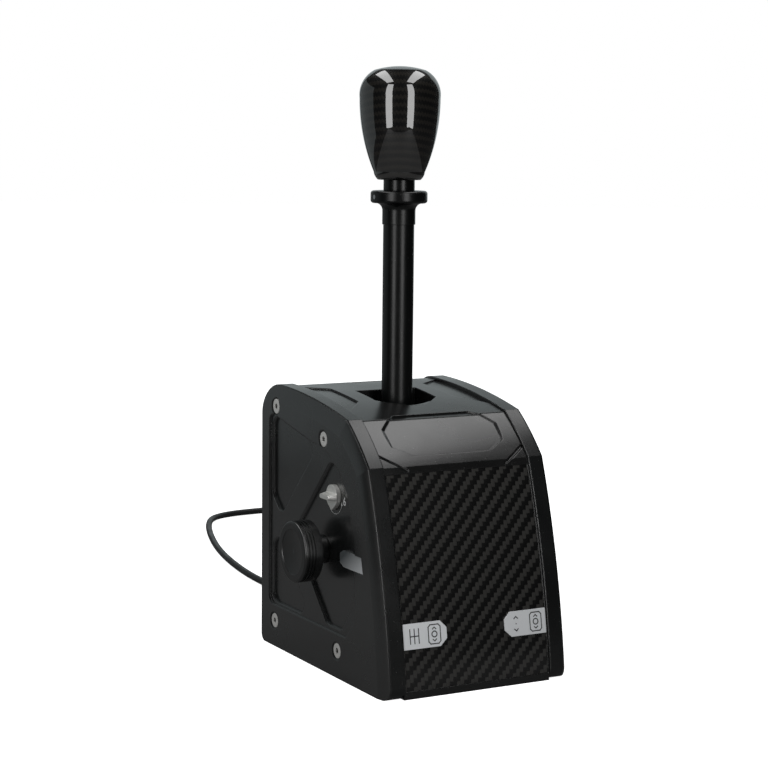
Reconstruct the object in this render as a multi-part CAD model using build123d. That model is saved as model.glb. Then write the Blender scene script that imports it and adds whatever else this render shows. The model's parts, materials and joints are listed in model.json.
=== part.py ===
"""Sim racing gear shifter: two bevelled side plates round a lever on a gimbal, with a mode knob and a dial.

Frame: +X to the right, +Z up, the carbon front towards -Y. The origin is on the base's underside, straight
below the lever's pivot. Lengths are millimetres. A share is a part of the size that its function names.
"""
import os
from math import acos, atan2, cos, degrees, hypot, pi, radians, sin, sqrt, tan

from build123d import *

os.makedirs("parts", exist_ok=True)

# Overall sizes
body_width = 125.0
plate_thickness = 12.5
bevel_depth = 2.5
body_depth = 168.8
rear_share = 0.3827
top_z = 168.4
grip_top_z = 367.5
fit = 0.1
running_fit = 0.05
overrun = 5.0
clip_reach = 500.0

rear_y = rear_share * body_depth
front_y = rear_y - body_depth
half_body = body_width / 2
half_gap = half_body - plate_thickness
half_rim = half_body - bevel_depth
cover_half = half_gap - fit

# Side outline: rounded rear corner, then three gentle arcs that meet at the brow and the chin
rear_top_radius = 20.0
brow_shares, chin_shares, toe_shares = (0.3359, 0.9347), (0.1718, 0.785), (0.0, 0.0445)
top_rise, brow_rise, front_rise = 2.45, 1.1, 3.7
foot_drop = 25.0
toe_radius = 7.0
heel_radius = 5.0

# Side plates
bevel_width = 11.0
recess_depth = 1.3
pocket_depth = 2.0
recess_corner = 6.0
badge_step = 0.8
pocket_corner = 7.0

# Covers and panels
cover_inset = 1.2
cover_wall = 3.0
seam_gap = 0.25
seam_tilt = 24.0
rear_split_drop = 28.4
carbon_inset = 1.4
carbon_thickness = 1.0
carbon_margin = 0.9
carbon_low_z = 4.8
carbon_chin_gap = 4.6
badge_thickness = 0.5
brow_pocket_depth = 0.9
brow_pocket_slope = 1.8
label_depth = 0.5
groove_width = 1.3
groove_depth = 0.8
side_pocket_depth = 1.0

# Lever slot
slot_half = 21.5
slot_rear_y = 15.0
slot_front_y = -20.0
slot_chamfer = 8.6
skirt_wall = 2.5
skirt_reach = 5.9
dish_radius = 45.0
dish_depth = 1.5

# Lever
pivot_share = 0.7482
shaft_radius = 9.65
stud_radius = 6.0
sleeve_radius = 10.3
collar_radius = 17.65
grip_radius = 25.0
neck_radius = 9.7
grip_height = 69.5
grip_widest_drop = 19.5
grip_foot_height = 5.0
neck_height = 6.7
collar_height = 7.7
skirt_height = 4.4
sleeve_height = 8.7
stud_reach = 16.0
collar_edge = 1.9
skirt_share, skirt_bulge = 0.75, 0.62
collar_screw_radius = 1.5
collar_screw_depth = 5.0
foot_bulge = 0.4

crown_share, shoulder_share, waist_share, end_share, foot_share = 0.632, 0.892, 0.892, 0.636, 0.528
crown_drop_share, shoulder_drop_share = 0.123, 0.421

# Gimbal
pin_radius = 4.0
ring_share = 0.48
ring_half_y, ring_half_z = 20.0, 8.0
ring_wall = 8.0
hub_play = 2.5
hub_half_z = 7.0
hub_gap = 0.3
shoulder_radius = 6.5
shoulder_gap = 0.5
sensor_room = 5.0
pin_rear_y = 23.0
pin_front_y = -34.0
clip_radius = 6.0
clip_width = 1.2
spring_radius = 6.5
spring_gap = 0.4
magnet_radius = 4.0
magnet_width = 2.0
tail_radius = 4.5
tail_pin_radius = 3.0
tail_pin_length = 17.0
tail_pin_reach = 5.0
fore_aft_limit = 6.0
lateral_limit = 8.0

# Inner frame
base_thickness = 6.0
cheek_share = 0.66
cheek_thickness = 5.0
cheek_half_y = 24.0
cheek_crest = 15.5
cheek_window_radius = 5.0
bore_gap = 0.4
bearing_outer_radius = 9.5
bearing_width = 6.0
gate_z = 40.0
gate_thickness = 4.0
gate_clearance = 0.6
post_radius = 4.5
stop_bar = 8.0
stop_gap = 0.3
pad_thickness = 2.0
pad_length = 20.0
rod_radius = 5.0
mount_spacing_x, mount_spacing_y = 60.0, 80.0
mount_hole_radius = 2.5
base_screw_radius = 1.5
base_screw_head_radius = 2.9
base_screw_head = 1.8
base_screw_length = 14.0

# Side screws
screw_spot_shares = [(0.883, 0.918), (0.492, 0.847), (0.888, 0.0986), (0.375, 0.0986)]
screw_radius = 2.5
screw_head_radius = 5.05
screw_head_height = 2.6
screw_head_round = 0.9
screw_sink = 0.4
screw_bore_radius = 5.6
screw_thread = 12.0
socket_radius = 1.9
socket_depth = 1.5

# Mode knob
mode_shares = (0.5178, 0.4412)
knob_radius = 18.7
knob_width = 12.4
knob_stand = 6.0
knob_edge = 1.4
knob_dish_radius = 14.0
knob_dish_step = 0.5
knob_dish_bowl = 1.1
knob_groove_count = 3
knob_groove = 0.8
knob_groove_pitch = 2.0
knob_groove_start = 2.6
mode_neck_radius = 8.3
mode_neck_reach = 4.0
mode_rod_radius = 4.0
mode_rod_reach = 3.0
bush_wall = 0.6

# Speed dial
dial_shares = (0.4254, 0.6508)
dial_radius = 7.0
dial_thickness = 2.9
dial_lift = 0.15
dial_point = 8.5
wing_length, wing_root_length = 11.4, 15.0
wing_width, wing_root_width = 2.6, 4.8
wing_height = 5.0
dial_rod_radius = 2.5
switch_size = 14.0
switch_depth = 9.0

# Boards
board_thickness = 1.6
board_width = 56.0
board_gap = 0.9
board_clear = 0.5
board_lift = 2.4
board_post_radius = 2.5
board_post_inset = 4.0
board_post_gap = 0.5
socket_width, socket_height = 12.0, 6.0
sensor_size = 22.0
chip_size = 5.0

# Cable
cable_radius = 2.5
floor_gap = 0.1
arc_run_share = 0.45
tail_run = 16.0
tail_drift = 1.2
cable_exit_x, cable_exit_z = 14.0, 22.0
gland_radius = 6.5
gland_flange_radius = 8.5
gland_flange = 2.0
relief_length = 20.0
relief_base_radius = 4.9
relief_tip_radius = 3.4
relief_rib = 0.6
relief_ribs = 4
coil_pitch = 5.6
coil_layer = 5.6
coil_radius = 28.0
coil_quarters = 29
plug_length = 27.0
plug_width = 15.6
plug_height = 8.0
plug_round = 2.0
shell_length = 18.8
shell_width = 12.0
shell_height = 4.5
shell_wall = 0.4
tongue_height = 1.8


def side_point(share):
    """A place on the side outline's box, from its share of the body's depth and height."""
    return (front_y + share[0] * body_depth, share[1] * top_z)


def side_points(shares):
    return [side_point(share) for share in shares]


screw_spots = side_points(screw_spot_shares)
brow_y, brow_z = side_point(brow_shares)
chin_y, chin_z = side_point(chin_shares)
toe_y, toe_z = side_point(toe_shares)
mode_y, mode_z = side_point(mode_shares)
dial_y, dial_z = side_point(dial_shares)
cover_inner = cover_inset + cover_wall
rear_split_z = top_z - rear_split_drop
carbon_half = cover_half - carbon_margin
carbon_high_z = chin_z - carbon_chin_gap
recess_x = half_body - recess_depth
pocket_x = recess_x - pocket_depth

pivot_z = pivot_share * top_z
grip_low_z = grip_top_z - grip_height
collar_high_z = grip_low_z - neck_height
collar_low_z = collar_high_z - collar_height
collar_middle_z = (collar_low_z + collar_high_z) / 2
skirt_z = collar_low_z - skirt_height
shaft_top_z = skirt_z - sleeve_height
stud_top_z = grip_low_z + stud_reach

ring_half_x = ring_share * half_gap
window_half_x, window_half_y = ring_half_x - ring_wall, ring_half_y - ring_wall
hub_half_x = window_half_x - hub_play
trunnion_end = half_gap - sensor_room
cheek_inner = cheek_share * half_gap
cheek_middle = cheek_inner + cheek_thickness / 2
cheek_outer = cheek_inner + cheek_thickness
stop_drop = ring_half_y * sin(radians(fore_aft_limit)) + ring_half_z * cos(radians(fore_aft_limit))
stop_z = pivot_z - stop_drop - stop_gap - pad_thickness
tail_pin_low_z = gate_z - tail_pin_reach
tail_low_z = tail_pin_low_z + tail_pin_length

screw_top_x = half_body - screw_sink
screw_seat_x = screw_top_x - screw_head_height
knob_back_x = -half_body - knob_stand
knob_face_x = knob_back_x - knob_width
mode_neck_end_x = mode_neck_reach - half_gap
mode_rod_end_x = mode_rod_reach - cheek_inner
bush_outer_radius = mode_neck_radius + running_fit + bush_wall
dial_back_x = -pocket_x - dial_lift
dial_face_x = dial_back_x - dial_thickness
board_z = screw_spots[-1][1] + rod_radius + board_lift
board_rear_y = rear_y - cover_inner - board_gap
board_length = board_rear_y - cheek_half_y - board_clear
board_y = board_rear_y - board_length / 2
plug_z = plug_height / 2 + floor_gap
floor_z = cable_radius + floor_gap
relief_end_y = rear_y + gland_flange + relief_length


def arc_through(start, end, rise):
    """Arc from start to end whose middle stands rise to the right of the straight line."""
    along = (end[0] - start[0], end[1] - start[1])
    length = hypot(*along)
    middle = (
        (start[0] + end[0]) / 2 + rise * along[1] / length,
        (start[1] + end[1]) / 2 - rise * along[0] / length,
    )
    return ThreePointArc(start, middle, end)


def outline(rear=rear_y):
    """Side outline carried on below the floor, so that an inset of it keeps its full height."""
    corner_low = (rear, top_z - rear_top_radius)
    corner_mid = rear_top_radius * (1 - sqrt(2) / 2)
    corner_high = (rear - rear_top_radius, top_z)
    top_start = (rear_y - rear_top_radius, top_z)
    edges = [
        Line((front_y, -foot_drop), (rear, -foot_drop)),
        Line((rear, -foot_drop), corner_low),
        ThreePointArc(corner_low, (rear - corner_mid, top_z - corner_mid), corner_high),
    ]
    if rear > rear_y:
        edges.append(Line(corner_high, top_start))
    edges += [
        arc_through(top_start, (brow_y, brow_z), top_rise),
        arc_through((brow_y, brow_z), (chin_y, chin_z), brow_rise),
        arc_through((chin_y, chin_z), (front_y, toe_z), front_rise),
        Line((front_y, toe_z), (front_y, -foot_drop)),
    ]
    return make_face(edges)


def inset_face(amount, rear=rear_y):
    """The side outline, moved inwards, still reaching below the floor."""
    return outline(rear) if amount == 0 else offset(outline(rear), amount=-amount, kind=Kind.INTERSECTION)


def above(level):
    return Pos(0, level + clip_reach / 2) * Rectangle(clip_reach, clip_reach)


def beyond(point, heading):
    """Large square over all that lies past the line through point, square to the heading in degrees."""
    turn = radians(heading)
    centre = (point[0] + clip_reach / 2 * cos(turn), point[1] + clip_reach / 2 * sin(turn))
    return Pos(*centre) * Rot(0, 0, heading) * Rectangle(clip_reach, clip_reach)


def band(outer, inner):
    """Skin between two insets of the outline, cut off at the floor."""
    return (inset_face(outer) - inset_face(inner)) & above(0)


def across(face, half):
    """Side view face made solid over half on each side of the middle."""
    return extrude(Plane.YZ * face, amount=half, both=True)


def slab(face, low_x, high_x):
    return extrude(Plane.YZ.offset(low_x) * face, amount=high_x - low_x)


def rounded_outline(points, radius):
    face = make_face(Polyline(*points, close=True))
    return fillet(face.vertices(), radius)


def rod_x(radius, low_x, high_x, y, z):
    return Pos((low_x + high_x) / 2, y, z) * Rot(0, 90, 0) * Cylinder(radius, high_x - low_x)


def rod_y(radius, low_y, high_y, x, z):
    return Pos(x, (low_y + high_y) / 2, z) * Rot(90, 0, 0) * Cylinder(radius, high_y - low_y)


def rod_z(radius, low_z, high_z, x=0, y=0):
    return Pos(x, y, (low_z + high_z) / 2) * Cylinder(radius, high_z - low_z)


def block(low, high):
    size = [b - a for a, b in zip(low, high)]
    centre = [(a + b) / 2 for a, b in zip(low, high)]
    return Pos(*centre) * Box(*size)


def turned(points):
    """Solid of revolution about Z from radius and height points and the arcs between them."""
    return revolve(Plane.XZ * make_face(points), Axis.Z)


def mirrored(shape):
    return mirror(shape, about=Plane.YZ)


def standing_outline():
    """The side outline cut off at the floor, its toe and heel rounded."""
    face = outline() & above(0)
    toe = face.vertices().sort_by(Axis.Y)[:2].sort_by(Axis.X)[0]
    face = fillet(toe, toe_radius)
    heel = face.vertices().sort_by(Axis.Y)[:3].sort_by(Axis.X)[-1]
    return fillet(heel, heel_radius)


# Recess and pockets of the side plates, as shares of the side outline's box
recess_rear_share, recess_floor_share = 0.937, 0.160
recess_front_shares = [(0.304, 0.160), (0.233, 0.245), (0.236, 0.440), (0.296, 0.659)]
recess_brow_shares = [(0.403, 0.776), (0.577, 0.825), (0.937, 0.896)]
upper_pocket_shares = [(0.922, 0.887), (0.550, 0.812), (0.846, 0.510), (0.922, 0.580)]
lower_pocket_shares = [(0.922, 0.390), (0.866, 0.436), (0.590, 0.168), (0.922, 0.168)]
front_pocket_shares = [
    (0.446, 0.776), (0.742, 0.466), (0.468, 0.176), (0.350, 0.176), (0.256, 0.290), (0.258, 0.430), (0.304, 0.654),
    (0.394, 0.758),
]
badge_shares = [
    (0.336, 0.471), (0.194, 0.470), (0.180, 0.413), (0.331, 0.412), (0.358, 0.425), (0.358, 0.458),
]


def recess_face():
    rear_low = side_point((recess_rear_share, recess_floor_share))
    front = side_points(recess_front_shares)
    brow = side_points(recess_brow_shares)
    edges = [
        Line(rear_low, front[0]),
        Line(front[0], front[1]),
        ThreePointArc(front[1], front[2], front[3]),
        ThreePointArc(front[3], brow[0], brow[1]),
        Line(brow[1], brow[2]),
        Line(brow[2], rear_low),
    ]
    face = make_face(edges)
    low_z, high_z = side_point((0, recess_front_shares[1][1]))[1], side_point((0, recess_brow_shares[-1][1]))[1]
    sharp = [v for v in face.vertices() if v.Y < low_z + fit or v.Y > high_z - fit]
    return fillet(sharp, recess_corner)


def side_plate():
    """Right-hand plate: outline, bevelled border, stepped recess, screw bores and the rods' seats."""
    wide = rear_y + bevel_width
    core = slab(inset_face(0, wide), half_gap, half_rim)
    border = loft(
        [Plane.YZ.offset(half_rim) * inset_face(0, wide), Plane.YZ.offset(half_body) * inset_face(bevel_width, wide)],
        ruled=True,
    )
    plate = (core + border) & slab(standing_outline(), half_gap, half_body)
    plate -= slab(recess_face(), recess_x, half_body + overrun)
    for shares in (upper_pocket_shares, lower_pocket_shares, front_pocket_shares):
        plate -= slab(rounded_outline(side_points(shares), pocket_corner), pocket_x, half_body + overrun)
    for y, z in screw_spots:
        plate -= rod_x(screw_bore_radius, screw_seat_x, half_body + overrun, y, z)
        plate -= rod_x(screw_radius, half_gap - overrun, screw_seat_x + fit, y, z)
    return plate


def badge_face():
    return make_face(Polyline(*side_points(badge_shares), close=True))


def left_side_plate():
    plate = mirrored(side_plate())
    seat = -pocket_x
    plate -= slab(offset(badge_face(), amount=fit, kind=Kind.INTERSECTION), -half_body - overrun, -recess_x)
    pad = slab(badge_face(), -recess_x, seat + fit) & slab(front_pocket_face(), -recess_x, seat + fit)
    plate += pad
    plate -= rod_x(bush_outer_radius, -half_body - overrun, -half_gap + overrun, mode_y, mode_z)
    plate -= rod_x(dial_rod_radius + running_fit, -half_body - overrun, -half_gap + overrun, dial_y, dial_z)
    return plate


def front_pocket_face():
    return rounded_outline(side_points(front_pocket_shares), pocket_corner)


def side_badge():
    return slab(badge_face(), -recess_x - badge_step, -recess_x)


def side_screws():
    """Round socket-head screws, four on each side, each threaded into the end of a frame rod."""
    made = []
    for y, z in screw_spots:
        head = rod_x(screw_head_radius, screw_seat_x, screw_top_x, y, z)
        rim = head.edges().filter_by(GeomType.CIRCLE).sort_by(Axis.X)[-1]
        head = fillet(rim, screw_head_round)
        head += rod_x(screw_radius, half_gap - screw_thread, screw_seat_x + fit, y, z)
        recess = RegularPolygon(socket_radius, 6)
        head -= Pos(screw_top_x - socket_depth, y, z) * Rot(0, 90, 0) * extrude(recess, amount=overrun)
        made += [head, mirrored(head)]
    return Compound(children=made)


def frame_rods():
    """Rods that tie the two side plates together where the side screws are."""
    made = []
    for y, z in screw_spots:
        rod = rod_x(rod_radius, -half_gap, half_gap, y, z)
        rod -= rod_x(screw_radius, half_gap - screw_thread, half_gap + overrun, y, z)
        rod -= rod_x(screw_radius, -half_gap - overrun, -half_gap + screw_thread, y, z)
        made.append(rod)
    return Compound(children=made)


# Covers
brow = (brow_y, brow_z)
forward = 180 + seam_tilt

octagon_shares = [(0.53, 0.362), (0.76, 0.300), (0.76, 0.240), (0.53, 0.206)]
side_pocket_shares = [(1.0, 0.842), (0.670, 0.771), (0.670, 0.549), (1.0, 0.434)]
groove_shares = [(1.0, 0.820), (0.670, 0.768)]
label_low_share, label_high_share = (-0.18, 0.835), (0.62, 0.906)


def plan_point(share):
    """A place seen from above: share of the half gap across, share of the body's depth from the front."""
    return (share[0] * half_gap, front_y + share[1] * body_depth)


def both_sides(points):
    """Closed outline from its right half, given from the back to the front."""
    return points + [(-x, y) for x, y in reversed(points)]


def slot_outline():
    right = [
        (slot_half, slot_rear_y),
        (slot_half, slot_front_y + slot_chamfer),
        (slot_half - slot_chamfer, slot_front_y),
    ]
    return make_face(Polyline(*both_sides(right), close=True))


def brow_pocket():
    """Shallow octagonal pocket with sloped walls that crosses the seam between the two covers."""
    plan = [plan_point(share) for share in octagon_shares]
    rear, front = plan[0][1], plan[-1][1]
    rise = atan2(surface_z(rear) - brow_front_z(front), rear - front)
    middle = ((rear + front) / 2, (surface_z(rear) + brow_front_z(front)) / 2)
    tilted = Plane((0, *middle), x_dir=(1, 0, 0), z_dir=(0, -sin(rise), cos(rise)))
    flat = make_face(Polyline(*both_sides([(x, (y - middle[0]) / cos(rise)) for x, y in plan]), close=True))
    spread = cover_wall * brow_pocket_slope / brow_pocket_depth
    wide = offset(flat, amount=spread, kind=Kind.INTERSECTION)
    body = loft([tilted.offset(0) * flat, tilted.offset(cover_wall) * wide], ruled=True)
    body += tilted * extrude(flat, amount=-cover_wall)
    return body & across(band(0, cover_inset + brow_pocket_depth), half_gap)


def brow_front_z(y):
    """Height of the straight line from the brow to the chin over a place between them."""
    share = (brow_y - y) / (brow_y - chin_y)
    return brow_z + share * (chin_z - brow_z)


def label_pocket():
    """Shallow bare pocket near the rear edge of the top."""
    low, high = plan_point(label_low_share), plan_point(label_high_share)
    column = block((low[0], low[1], 0), (high[0], high[1], top_z))
    return column & across(band(0, cover_inset + label_depth) & above(brow_z), half_gap)


def rear_top_cover():
    behind = beyond(brow, forward - 180) & above(rear_split_z)
    skin = across(band(cover_inset, cover_inner) & behind, cover_half)
    skin -= brow_pocket()
    skin -= label_pocket()
    skirt = extrude(offset(slot_outline(), amount=skirt_wall, kind=Kind.INTERSECTION), amount=top_z)
    skirt &= across(inset_face(cover_inset) & above(brow_z - skirt_reach), cover_half)
    skin += skirt
    for side in (1, -1):
        plan = make_face(Polyline(*[(side * x, y) for x, y in map(plan_point, side_pocket_shares)], close=True))
        skin -= extrude(plan, amount=top_z) & across(
            band(0, cover_inset + side_pocket_depth) & above(brow_z), half_gap
        )
    lip_z = surface_z(slot_front_y) - cover_inset
    skin -= Pos(0, slot_front_y, lip_z + dish_radius - dish_depth) * Sphere(dish_radius)
    return skin - extrude(slot_outline(), amount=top_z + overrun)


def surface_z(y):
    """Height of the outline's top arc over a place between its ends."""
    high, low = (rear_y - rear_top_radius, top_z), (brow_y, brow_z)
    share = (high[0] - y) / (high[0] - low[0])
    return high[1] + share * (low[1] - high[1]) + 4 * top_rise * share * (1 - share)


def front_region():
    ahead = (brow_y + seam_gap * cos(radians(forward)), brow_z + seam_gap * sin(radians(forward)))
    return beyond(ahead, forward)


def front_cover():
    """Brow and front in one moulding, with the carbon panel's recess and a bar below it."""
    ahead = front_region()
    skin = across(band(cover_inset, cover_inner) & ahead, cover_half)
    skin -= brow_pocket()
    skin -= carbon_column(carbon_half + fit, fit) & across(
        band(0, carbon_inset + carbon_thickness) & ahead, half_gap
    )
    for side in (1, -1):
        ends = [(side * s[0] * half_gap, s[1] * top_z) for s in groove_shares]
        length = hypot(ends[1][0] - ends[0][0], ends[1][1] - ends[0][1])
        angle = degrees(atan2(ends[1][1] - ends[0][1], ends[1][0] - ends[0][0]))
        middle = ((ends[0][0] + ends[1][0]) / 2, (ends[0][1] + ends[1][1]) / 2)
        line = Plane.XZ * Pos(*middle) * Rot(0, 0, angle) * Rectangle(length, groove_width)
        cutter = extrude(line, amount=body_depth)
        skin -= cutter & across(band(0, cover_inset + groove_depth) & ahead, half_gap)
    return skin


def carbon_column(half, margin):
    """Upright bar through the front over the carbon panel's width and height."""
    return block((-half, front_y - overrun, carbon_low_z - margin), (half, 0, carbon_high_z + margin))


def carbon_panel():
    skin = across(band(carbon_inset, carbon_inset + carbon_thickness) & front_region(), carbon_half)
    return skin & carbon_column(carbon_half, 0)


pattern_badge_shares = [(1.0, 0.316), (0.49, 0.316), (0.406, 0.282), (0.406, 0.230), (0.50, 0.196), (1.0, 0.196)]


def pattern_badge(side):
    """Thin metal plate on the carbon panel, its inner corners cut off."""
    points = [(side * s[0] * carbon_half, surface_share_z(s[1])) for s in pattern_badge_shares]
    column = extrude(Plane.XZ * make_face(Polyline(*points, close=True)), amount=body_depth)
    return column & across(band(carbon_inset - badge_thickness, carbon_inset) & front_region(), carbon_half)


def surface_share_z(share):
    return carbon_low_z + share * (carbon_high_z - carbon_low_z)


def rear_panel():
    """Rear wall below the top cover, bored for the cable's gland."""
    behind = beyond((0, 0), 0) - above(rear_split_z - seam_gap)
    skin = across(band(cover_inset, cover_inner) & behind, cover_half)
    return skin - rod_y(gland_radius, 0, rear_y + overrun, cable_exit_x, cable_exit_z)


def base_plate():
    """Floor of the body, seated between the front and rear walls, with its four tapped mounting holes."""
    room = inset_face(cover_inner + fit) & above(0)
    plate = across(room - above(base_thickness), cover_half)
    for x in (-mount_spacing_x / 2, mount_spacing_x / 2):
        for y in (-mount_spacing_y / 2, mount_spacing_y / 2):
            plate -= rod_z(mount_hole_radius, -overrun, base_thickness + overrun, x, y)
    for x, y in base_screw_spots():
        plate -= rod_z(base_screw_radius, -overrun, base_thickness + overrun, x, y)
        plate -= rod_z(base_screw_head_radius, -overrun, base_screw_head + fit, x, y)
    return plate


def base_screw_spots():
    x = cheek_inner + cheek_thickness / 2
    y = cheek_half_y - cheek_thickness * 2
    return [(a * x, b * y) for a in (-1, 1) for b in (-1, 1)]


def base_screws():
    made = []
    for x, y in base_screw_spots():
        head = rod_z(base_screw_head_radius, fit, base_screw_head + fit, x, y)
        made.append(head + rod_z(base_screw_radius, base_screw_head, base_screw_length, x, y))
    return Compound(children=made)


# Inner frame
def cheek():
    """Right-hand cheek: upright plate on the base with the bearing's bore and two windows."""
    cheek_top_z = pivot_z + cheek_crest
    plate = block((cheek_inner, -cheek_half_y, base_thickness), (cheek_outer, cheek_half_y, cheek_top_z))
    top_edges = plate.edges().filter_by(Axis.X).sort_by(Axis.Z)[-2:]
    plate = chamfer(top_edges, cheek_half_y / 2)
    plate -= rod_x(bearing_outer_radius, cheek_inner - overrun, cheek_outer + overrun, 0, pivot_z)
    low = gate_z + gate_thickness + post_radius
    high = stop_z - stop_bar
    half = cheek_half_y - cheek_thickness * 3
    window = Pos(0, (low + high) / 2) * RectangleRounded(2 * half, high - low, cheek_window_radius)
    plate -= slab(window, cheek_inner - overrun, cheek_outer + overrun)
    for x, y in base_screw_spots():
        plate -= rod_z(base_screw_radius, base_thickness - overrun, base_screw_length, x, y)
    return plate


def left_cheek():
    """Left-hand cheek, bored for the selector rod too."""
    plate = mirrored(cheek())
    return plate - rod_x(mode_rod_radius + bore_gap, -cheek_outer - overrun, -cheek_inner + overrun, mode_y, mode_z)


def bearing(side):
    """Ball bearing drawn as one ring, its bore a running fit on the trunnion."""
    ring = rod_x(bearing_outer_radius, cheek_middle - bearing_width / 2, cheek_middle + bearing_width / 2, 0, pivot_z)
    ring -= rod_x(pin_radius + running_fit, cheek_inner - overrun, cheek_outer + overrun, 0, pivot_z)
    return ring if side > 0 else mirrored(ring)


def stop_bars():
    """Two bars between the cheeks, under the gimbal ring's front and rear edges."""
    made = []
    for side in (-1, 1):
        y = side * (ring_half_y - stop_bar / 2)
        low = (-cheek_inner, y - stop_bar / 2, stop_z - stop_bar)
        made.append(block(low, (cheek_inner, y + stop_bar / 2, stop_z)))
    return Compound(children=made)


def stop_pads():
    """Rubber pads on the stop bars."""
    made = []
    for side in (-1, 1):
        y = side * (ring_half_y - stop_bar / 2)
        low = (-pad_length / 2, y - stop_bar / 2, stop_z)
        made.append(block(low, (pad_length / 2, y + stop_bar / 2, stop_z + pad_thickness)))
    return Compound(children=made)


def gate_reach(limit):
    """How far from the middle the tail is, at half the gate's thickness, with the lever at a limit."""
    return (pivot_z - gate_z - gate_thickness / 2) * tan(radians(limit))


def gate_plate():
    """Plate with the shift pattern: three slots along Y, joined by the neutral channel along X."""
    plate = block((-cheek_inner, -cheek_half_y, gate_z), (cheek_inner, cheek_half_y, gate_z + gate_thickness))
    slot_radius = tail_pin_radius + gate_clearance
    across_reach, along_reach = gate_reach(lateral_limit), gate_reach(fore_aft_limit)
    high = gate_z + gate_thickness + overrun
    cutter = block((-across_reach, -slot_radius, gate_z - overrun), (across_reach, slot_radius, high))
    for x in (-across_reach, 0, across_reach):
        cutter += block((x - slot_radius, -along_reach, gate_z - overrun), (x + slot_radius, along_reach, high))
        for y in (-along_reach, along_reach):
            cutter += rod_z(slot_radius, gate_z - overrun, high, x, y)
    return plate - cutter


def gate_posts():
    made = []
    for x in (-1, 1):
        for y in (-1, 1):
            place = (x * (cheek_inner - post_radius * 2), y * (cheek_half_y - post_radius))
            made.append(rod_z(post_radius, base_thickness, gate_z, *place))
    return Compound(children=made)


def main_board():
    low = (-board_width / 2, board_y - board_length / 2, board_z)
    return block(low, (board_width / 2, board_y + board_length / 2, board_z + board_thickness))


def board_posts():
    """Posts under the board, two near its front edge and two just behind the lower rear rod."""
    x = board_width / 2 - board_post_inset
    front = board_rear_y - board_length + board_post_inset
    rear = screw_spots[2][0] + rod_radius + board_post_gap + board_post_radius
    places = [(a * x, y) for a in (-1, 1) for y in (front, rear)]
    return Compound(children=[rod_z(board_post_radius, base_thickness, board_z, *place) for place in places])


def board_socket():
    """Plug-in socket on the board where the cable's inner end goes."""
    top = board_z + board_thickness
    low = (-socket_width / 2, board_rear_y - socket_height, top)
    return block(low, (socket_width / 2, board_rear_y, top + socket_height))


def sensor_board():
    """Angle sensor's board on the right plate, over the trunnion's magnet."""
    half = sensor_size / 2
    low = (half_gap - board_thickness, -half, pivot_z - half)
    board = block(low, (half_gap, half, pivot_z + half))
    chip_low = trunnion_end + magnet_width + shoulder_gap
    half_chip = chip_size / 2
    chip = block((chip_low, -half_chip, pivot_z - half_chip), (half_gap, half_chip, pivot_z + half_chip))
    return board + chip


# Gimbal, which turns about X and carries the lever's pin along Y
def gimbal_ring():
    ring = block((-ring_half_x, -ring_half_y, -ring_half_z), (ring_half_x, ring_half_y, ring_half_z))
    deep = ring_half_z + overrun
    ring -= block((-window_half_x, -window_half_y, -deep), (window_half_x, window_half_y, deep))
    upright = ring.edges().filter_by(Axis.Z).sort_by(SortBy.DISTANCE)[-4:]
    ring = Pos(0, 0, pivot_z) * chamfer(upright, ring_half_z / 3)
    shoulder_end = cheek_middle - bearing_width / 2 - shoulder_gap
    for side in (-1, 1):
        ends = sorted((side * (ring_half_x - fit), side * shoulder_end))
        ring += rod_x(shoulder_radius, *ends, 0, pivot_z)
        ends = sorted((side * (ring_half_x - fit), side * trunnion_end))
        ring += rod_x(pin_radius, *ends, 0, pivot_z)
    return ring - rod_y(pin_radius, -ring_half_y - overrun, ring_half_y + overrun, 0, pivot_z)


def lateral_pin():
    return rod_y(pin_radius, pin_front_y, pin_rear_y, 0, pivot_z)


def pin_clips():
    """Retaining rings at the pin's two ends."""
    made = []
    for low in (pin_rear_y - 2 * clip_width, pin_front_y + clip_width):
        ring = rod_y(clip_radius, low, low + clip_width, 0, pivot_z)
        made.append(ring - rod_y(pin_radius, low - overrun, low + clip_width + overrun, 0, pivot_z))
    return Compound(children=made)


def centring_spring():
    """Coil round the pin's front end that brings the lever back to the middle, drawn as a sleeve."""
    low, high = pin_front_y + 2 * clip_width + spring_gap, -ring_half_y - spring_gap
    sleeve = rod_y(spring_radius, low, high, 0, pivot_z)
    return sleeve - rod_y(pin_radius + spring_gap, low - overrun, high + overrun, 0, pivot_z)


def trunnion_magnet():
    return rod_x(magnet_radius, trunnion_end, trunnion_end + magnet_width, 0, pivot_z)


# Lever
def lever_hub():
    half_y = window_half_y - hub_gap
    hub = block((-hub_half_x, -half_y, pivot_z - hub_half_z), (hub_half_x, half_y, pivot_z + hub_half_z))
    long_edges = hub.edges().filter_by(Axis.Y)
    hub = chamfer(long_edges, hub_half_z / 4)
    return hub - rod_y(pin_radius + running_fit, -ring_half_y, ring_half_y, 0, pivot_z)


def lever_tail():
    """Stem under the hub, with the pin that runs in the gate's slots."""
    tail = rod_z(tail_radius, tail_low_z, pivot_z - hub_half_z)
    tail += rod_z(tail_pin_radius, tail_pin_low_z, tail_low_z + fit)
    tip = tail.edges().filter_by(GeomType.CIRCLE).sort_by(Axis.Z)[0]
    return fillet(tip, tail_pin_radius / 3)


def lever_shaft():
    shaft = rod_z(shaft_radius, pivot_z + hub_half_z, shaft_top_z)
    return shaft + rod_z(stud_radius, shaft_top_z - fit, stud_top_z)


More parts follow.
